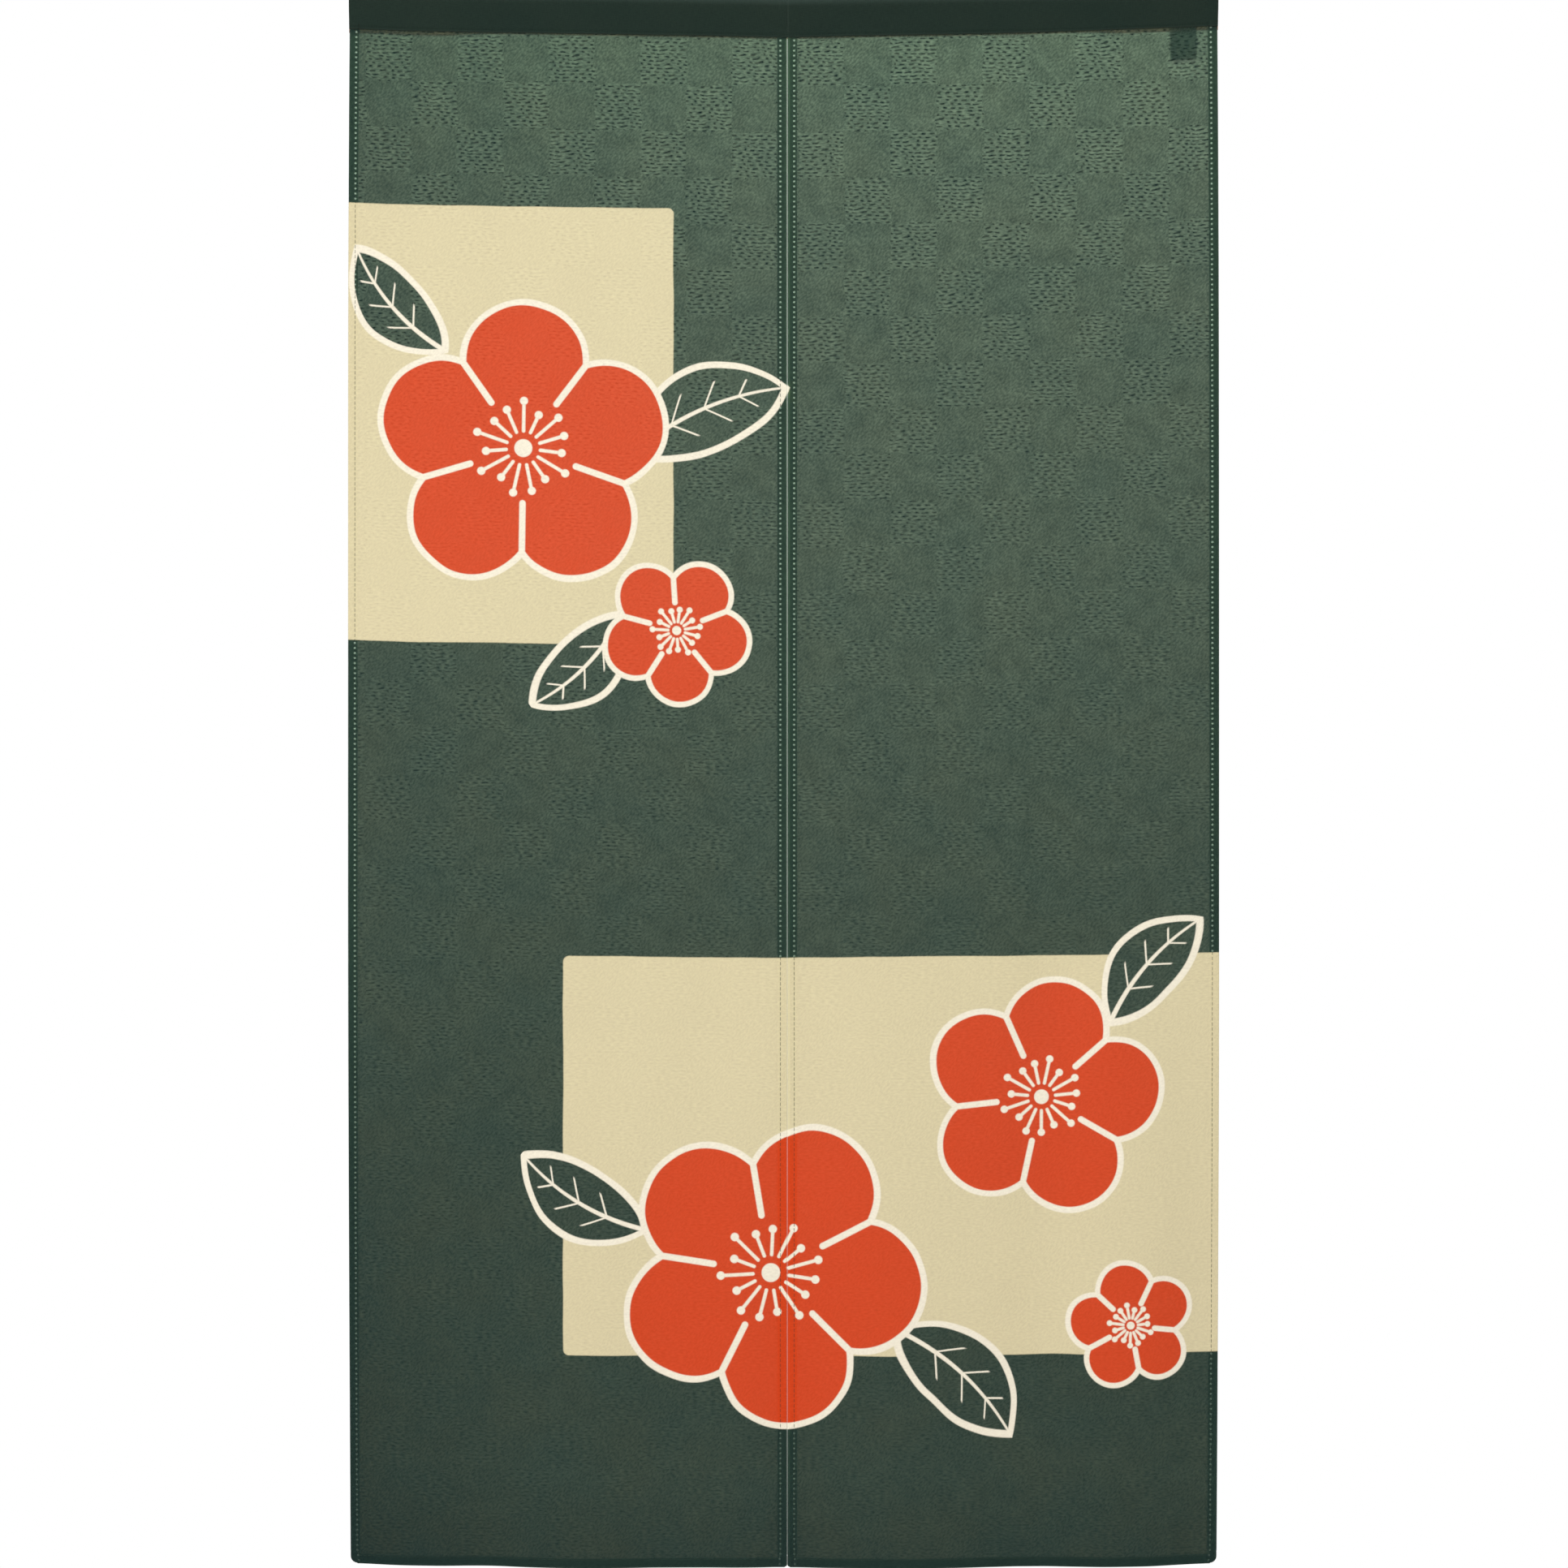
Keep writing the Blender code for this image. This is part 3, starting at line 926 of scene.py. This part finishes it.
def weave_pattern(u, v, wander):
    """The self-pattern: squares of short dark dashes, laid like bricks, next to squares of
    twill, mirrored about the slit. Gives where the dark dashes are, and their squares."""
    side = (u - MIRROR_X).over(0.0)
    away = abs(u - MIRROR_X) - (FIRST_LEFT + side * (FIRST_RIGHT - FIRST_LEFT))
    row = (FIRST_ROW - v) / SQUARE + wander * 0.16
    column = away / (SQUARE_LEFT + side * (SQUARE_RIGHT - SQUARE_LEFT)) + wander * 0.14
    dashes_here = ((row.floor() + column.floor()) % 2.0).over(0.5)

    line = v / DASH_ROW + wander * 1.2
    number = line.floor()
    shift = (number % 2.0) * 0.5 + (number * GOLDEN_ANGLE).sine() * 0.13
    in_cell = abs((u / DASH_PITCH + shift + wander * 1.3) % 1.0 - 0.5)
    in_line = abs(line % 1.0 - 0.5)
    long = 1.0 - (in_cell - DASH_HALF - wander * 0.60).high(0.0) / DASH_FADE
    thick = 1.0 - (in_line - ROW_HALF + wander * 0.25).high(0.0) / ROW_FADE
    return long.clamp() * thick.clamp() * dashes_here, dashes_here


def stitched_holes(v, from_side):
    """Where light comes through at the needle's holes: small round spots at the pitch of
    the stitches, along the side hems."""
    step = ((v + DROP - FOOT_STITCH) / STITCH_PITCH + 0.5) % 1.0 - 0.5
    return covered(length(step * STITCH_PITCH, from_side - SIDE_STITCH) - HOLE, 0.0006)


def cloth_shader(material, colour, share, rough, bump_height=None, yarn=YARN_LIGHT):
    """Cloth that reflects its own colour and lets a share of light through."""
    tree = material.node_tree
    lit = {"Base Color": colour, "Roughness": rough, "Specular IOR Level": 0.07}
    through = {"Color": yarn}
    if bump_height is not None:
        heights = {"Strength": 1.0, "Distance": 1.0, "Height": bump_height}
        lit["Normal"] = colour.node("ShaderNodeBump", {}, heights)
    front = colour.node("ShaderNodeBsdfPrincipled", {}, lit)
    glow = colour.node("ShaderNodeBsdfTranslucent", {}, through)
    both = colour.node("ShaderNodeMixShader", {}, {0: share, 1: front, 2: glow})
    end = tree.nodes.new("ShaderNodeOutputMaterial")
    tree.links.new(both.output, end.inputs["Surface"])


def new_material(name):
    """An empty node material, and the root from which its nodes are added."""
    material = bpy.data.materials.new(name)
    material.use_nodes = True
    material.node_tree.nodes.clear()
    return material, Socket(material.node_tree)


def scaled(colour, factor):
    """A colour socket times a number or a number socket."""
    triple = vector(factor, factor, factor) if isinstance(factor, Socket) else (factor,) * 3
    return colour.node("ShaderNodeVectorMath", {"operation": "MULTIPLY"}, {0: colour, 1: triple})


def light_share(u, v, layers, holes, inked):
    """The share of light let through: what the layers of cloth leave, and more at the
    needle's holes. Ink takes some of it. Painted light: more is let through down a strip
    at the slit. Painted shade: less low down, most beside the slit, at the foot and its corners."""
    low, foot = reached(v, -0.95, 0.55), reached(v, -1.41, 0.08)
    # painted light: a brighter strip down the right panel's edge at the slit, standing in for
    # light through the gap between the panels
    slit_glow = stroke(u - SLIT_X - 0.0011, 0.0027, 0.0010)
    share = layers * (1.0 - inked * 0.30)
    share = share + (SLIT_SHARE - inked * 0.28 - share) * slit_glow
    share = share + (HOLE_SHARE - inked * 0.30 - share) * holes
    # painted shade: less light let through low down, most beside the slit, at the lower corners
    # and at the foot
    corner = low * (abs(u) / HALF_TOP) ** 3.0 * (0.17 - u * 0.34)
    by_slit = (1.0 - abs(u - SLIT_X) / 0.06).clamp()
    dim = (0.09 + by_slit * by_slit * 0.10) * low + corner + foot * 0.16
    return ((share + reached(v, -0.30, 0.25) * 0.016) * (1.0 - dim)).clamp()


def yarn_grain(u, v, dashes_here):
    """The single yarns: level between the dashes, and slanting in the squares of twill."""
    plain = 1.0 - dashes_here
    return noise(vector((u + v * plain) * 230.0, (u * plain - v) * (560.0 - plain * 160.0)))


def printed_cloth(name, figures, back):
    """The printed cloth's face, or its back, where the print has come through paler. Dark
    dashes let less light through, and a single layer less than a dense turned hem."""
    material, root = new_material(name)
    u, v = cloth_place(root)
    from_side, from_foot = cloth_place(root, "from_edges")
    wander, patch = noise(vector(u, v), 62.0), noise(vector(u, v), 16.0)
    dash, dashes_here = weave_pattern(u, v, wander)
    grain = wander * 0.5 if back else yarn_grain(u, v, dashes_here)
    hem = covered(from_side.low(from_foot) - HEM_WIDTH + 0.0004, 0.0008)
    holes = stitched_holes(v, from_side)

    ground = mix((patch + grain * 2.2 + 0.5).clamp(), GREEN_COOL, GREEN_WARM)
    ground = mix(hem, ground, GREEN_HEM)
    colour, inked = ground, 0.0
    if figures:
        colour = print_colours(u, v, patch, figures, ground)
        inked = (parts(colour)[0] * 1.6).clamp()
    bare = 1.0 - inked * 0.62
    fading = 1.0 - reached(v, FADE_START, FADE_SPAN) * (u * 0.50 + 0.76)
    dashes = (dashes_here * 0.058 - dash * 0.245) * fading

    turned_edge = stroke(from_side - HEM_WIDTH + 0.0008, 0.0012, 0.0008)
    single = SINGLE_SHARE + (grain * 0.44 + patch * 0.03 + dashes) * bare
    double = HEM_SHARE + grain * 0.16 - turned_edge * 0.05
    share = light_share(u, v, single + (double - single) * hem, holes, inked)
    # painted light: the needle holes painted paler, as lit from behind, fading lower down
    hole_glow = holes * (1.0 - reached(v, -0.55, 0.95) * 0.8) * (1.0 - inked)
    tone = 1.0 + (grain * 0.36 + patch * 0.05 + dashes * 0.40) * bare
    colour = scaled(mix(hole_glow, colour, HOLE_GLOW), tone / ((1.0 - share) * FRONT_LIGHT))
    if back:
        cloth_shader(material, mix(BACK_FADE, colour, PALE_BACK), share, 0.86)
    else:
        cloth_shader(material, colour, share, 0.86, grain * 0.00012)
    return material


def pocket_material():
    """The double cloth of the pocket, which lets little light through, and its allowance,
    which lets through more. Painted light: a lighter line down the join at the slit, and
    a painted highlight along the top fold."""
    material, root = new_material("pocket_cloth")
    u, v = cloth_place(root)
    yarn = noise(vector(u * 210.0, v * 1500.0)) + noise(vector(u * 1500.0, v * 160.0))
    patch = noise(vector(u, v), 14.0)
    section = pocket_section()
    along = lengths_along(section)
    crest, end = float(along[section[:, 1].argmax()]), float(along[-1])
    # painted light: a lighter line down the join at the slit, standing in for light through it
    join = stroke(u - SLIT_X - 0.0008, 0.0008, 0.0010)
    # painted highlight along the top fold, as if lit from above
    crest_highlight = stroke(v - crest, 0.0170, 0.0090)
    lip = covered(end - LIP - v, 0.0006)
    share = POCKET_SHARE + lip * (LIP_SHARE - POCKET_SHARE) + yarn * 0.04
    colour = mix((patch * 1.5 + 0.5).clamp(), POCKET_DARK, POCKET_PALE)
    colour = mix(join * 0.35, colour, POCKET_JOIN_PAINTED_GLOW)
    colour = mix(crest_highlight, colour, POCKET_CREST_HIGHLIGHT)
    colour = scaled(colour, (1.0 + yarn * 0.35) / ((1.0 - POCKET_SHARE) * FRONT_LIGHT))
    cloth_shader(material, colour, share, 0.84, yarn * 0.00007, POCKET_LIGHT)
    return material


def tape_material():
    """A plain satin tape, with fine lines along it."""
    material, root = new_material("label_tape")
    u, v = cloth_place(root)
    satin = noise(vector(u * 3600.0, v * 300.0))
    edge = covered(0.5 * LABEL_WIDTH - 0.0012 - abs(u), 0.0004)
    colour = scaled(mix(edge * 0.4, TAPE_COLOUR, TAPE_EDGE), 1.0 + satin * 0.3)
    cloth_shader(material, colour, TAPE_SHARE + satin * 0.10, 0.55, satin * 0.00004, TAPE_LIGHT)
    return material


def thread_material():
    """Sewing thread in the ground's green, with its twist as fine slanting bands."""
    material, root = new_material("sewing_thread")
    x, _, z = parts(root.node("ShaderNodeTexCoord", output="Object"))
    band = ((z + x * 1.2) * 7000.0).sine()
    colour = mix(band * 0.25 + 0.5, THREAD_COLOUR, THREAD_TWIST)
    cloth_shader(material, colour, THREAD_SHARE + band * 0.02, 0.60, band * 0.00002)
    return material


FLOOR_DARK = (0.74, 0.73, 0.71, 1.0)
FLOOR_PALE = (0.78, 0.77, 0.75, 1.0)
TOP_TINT = (0.45, 1.0, 0.60)  # the glow just below the pocket is greener


def area_light(name, power, place, aim, width, height, colour=(1.0, 1.0, 1.0)):
    """A soft rectangular light aimed at a point, itself out of sight."""
    light = bpy.data.lights.new(name, "AREA")
    light.shape = "RECTANGLE"
    light.size, light.size_y = width, height
    light.energy = power
    light.color = colour
    made = bpy.data.objects.new(name, light)
    made.location = place
    made.rotation_euler = (Vector(aim) - Vector(place)).to_track_quat("-Z", "Y").to_euler()
    made.visible_camera = False
    bpy.context.scene.collection.objects.link(made)
    return made


def studio():
    """White surroundings that are dimmer behind than in front, a soft key from the upper
    left, a light behind the top, a glow just below the pocket and a pale floor."""
    world = bpy.data.worlds.new("studio")
    bpy.context.scene.world = world
    world.use_nodes = True
    tree = world.node_tree
    tree.nodes.clear()
    root = Socket(tree)
    _, behind, _ = parts(root.node("ShaderNodeTexCoord", output="Generated"))
    level = (1.0 - behind) * 0.62
    seen = root.node("ShaderNodeLightPath", output="Is Camera Ray")
    colour = mix(seen, vector(level, level, level), (1.0, 1.0, 1.0, 1.0))
    surround = root.node("ShaderNodeBackground", {}, {"Color": colour, "Strength": 1.0})
    end = tree.nodes.new("ShaderNodeOutputWorld")
    tree.links.new(surround.output, end.inputs["Surface"])

    area_light("key", 77.0, (-1.2, -3.3, 0.0), (0.0, 0.0, -0.75), 2.4, 2.4)
    area_light("backlight", 16.2, (0.25, 1.00, 0.05), (0.06, 0.0, 0.22), 1.0, 0.8)
    area_light("top_glow", 0.62, (0.08, 0.16, 0.10), (0.08, 0.0, -0.04), 1.1, 0.06, TOP_TINT)

    bpy.ops.mesh.primitive_plane_add(size=14.0, location=(0.0, -4.8, -2.0))
    floor = bpy.context.object
    floor.name = "floor"
    material, root = new_material("pale_floor")
    place = root.node("ShaderNodeTexCoord", output="Object")
    tone = mix(noise(place, 3.0, 3.0) + 0.5, FLOOR_DARK, FLOOR_PALE)
    matt = root.node("ShaderNodeBsdfPrincipled", {}, {"Base Color": tone, "Roughness": 0.8})
    end = material.node_tree.nodes.new("ShaderNodeOutputMaterial")
    material.node_tree.links.new(matt.output, end.inputs["Surface"])
    floor.data.materials.append(material)


def camera():
    """Square on to the front, framed as the photograph is."""
    lens = bpy.data.cameras.new("camera")
    lens.lens, lens.sensor_width = 85.0, 36.0
    made = bpy.data.objects.new("camera", lens)
    made.location = (0.0004, -3.534, -0.7492)
    made.rotation_euler = (np.pi / 2.0, 0.0, 0.0)
    bpy.context.scene.collection.objects.link(made)
    bpy.context.scene.camera = made
    bpy.context.scene.view_settings.view_transform = "Standard"


def hang_piece(made, slot, *nodes):
    """Hangs a piece on the curtain's one body, in place of its solids."""
    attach(made, "root")
    if nodes:
        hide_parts(*nodes)


def dress():
    finishes = []
    for name, figures in (("plain", None), ("upper", UPPER), ("lower", LOWER)):
        finishes.append(printed_cloth(name + "_print_face", figures, False))
        finishes.append(printed_cloth(name + "_print_back", figures, True))
    thread = thread_material()
    sheets = []
    for panel, side in ((LEFT, "left"), (RIGHT, "right")):
        cloth = panel_cloth(panel)
        for finish in finishes:
            cloth.data.materials.append(finish)
        hang_piece(cloth, "printed_cloth", "panel_" + side)
        sewing = panel_sewing(panel, "sewing_" + side)
        sewing.data.materials.append(thread)
        hang_piece(sewing, "printed_cloth")

    pocket = pocket_cloth()
    pocket.data.materials.append(pocket_material())
    hang_piece(pocket, "pocket_cloth", "heading")
    sewing = pocket_sewing()
    sewing.data.materials.append(thread)
    hang_piece(sewing, "pocket_cloth")

    tape = tape_loop()
    tape.data.materials.append(tape_material())
    hang_piece(tape, "label_tape", "label")


dress()
studio()
camera()
